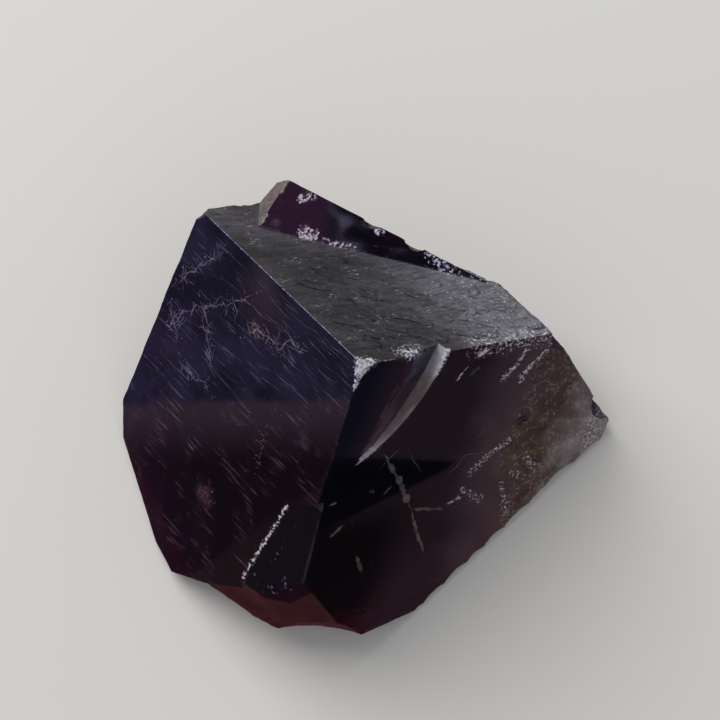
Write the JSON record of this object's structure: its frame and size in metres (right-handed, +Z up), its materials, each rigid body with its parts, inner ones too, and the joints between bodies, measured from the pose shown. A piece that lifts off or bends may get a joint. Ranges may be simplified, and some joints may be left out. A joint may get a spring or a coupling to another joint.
{
  "type": "fluorite specimen",
  "caption": "Dark violet fluorite crystal fragment: a glassy broken cube corner with a raised ridge, resting on a flat cleavage face.",
  "frame": {"origin": "middle of the part's footprint box, on the surface it rests on", "axes": "+Z up from the flat cleavage face it rests on, +X to the right and -Y towards the viewer, with the cube corner on top"},
  "size_m": [0.0436, 0.0384, 0.0292],
  "materials": {
    "fluorite": "clear dark violet crystal, glassy with a frosted top face"
  },
  "bodies": {
    "root": {"fluorite_crystal": "fluorite"}
  },
  "joints": []
}
